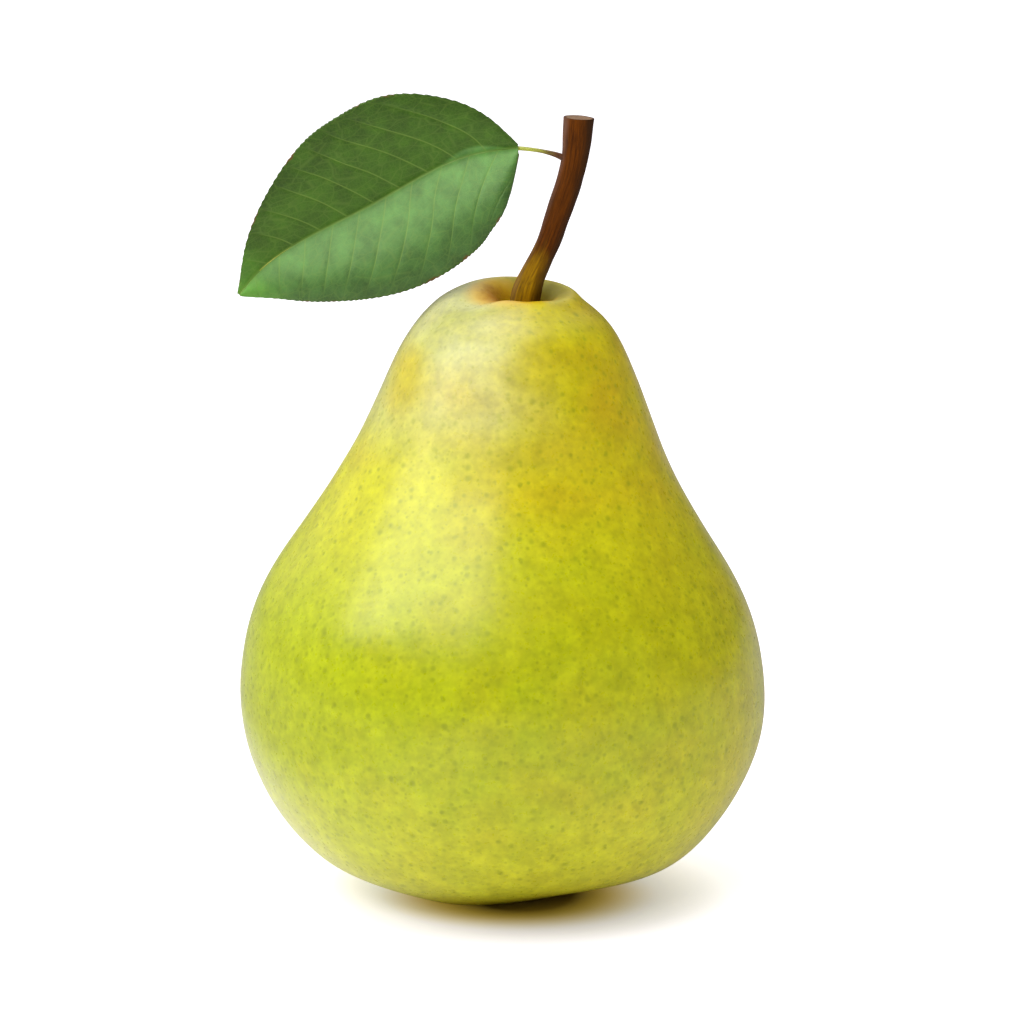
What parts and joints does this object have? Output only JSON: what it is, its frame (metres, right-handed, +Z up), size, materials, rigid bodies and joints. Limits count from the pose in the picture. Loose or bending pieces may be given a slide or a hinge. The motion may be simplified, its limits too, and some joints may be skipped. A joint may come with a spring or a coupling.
{
  "type": "pear",
  "caption": "Whole green pear with a tapering neck, a curved woody stem and one leaf, standing upright on the lobes round its calyx.",
  "frame": {"origin": "on the surface the pear stands on, under the middle of the fruit", "axes": "+Z up towards the stem, -Y the front, with the leaf towards -X"},
  "size_m": [0.0746, 0.0728, 0.1133],
  "materials": {
    "pear_skin": "satin",
    "stem_bark": "matte",
    "leaf_green": "satin",
    "dried_calyx": "matte"
  },
  "bodies": {
    "root": {"fruit": "pear_skin", "stem": "stem_bark", "leaf": "leaf_green", "sepal_1": "dried_calyx", "sepal_2": "dried_calyx", "sepal_3": "dried_calyx", "sepal_4": "dried_calyx", "sepal_5": "dried_calyx", "stamen_tuft": "dried_calyx"}
  },
  "joints": []
}
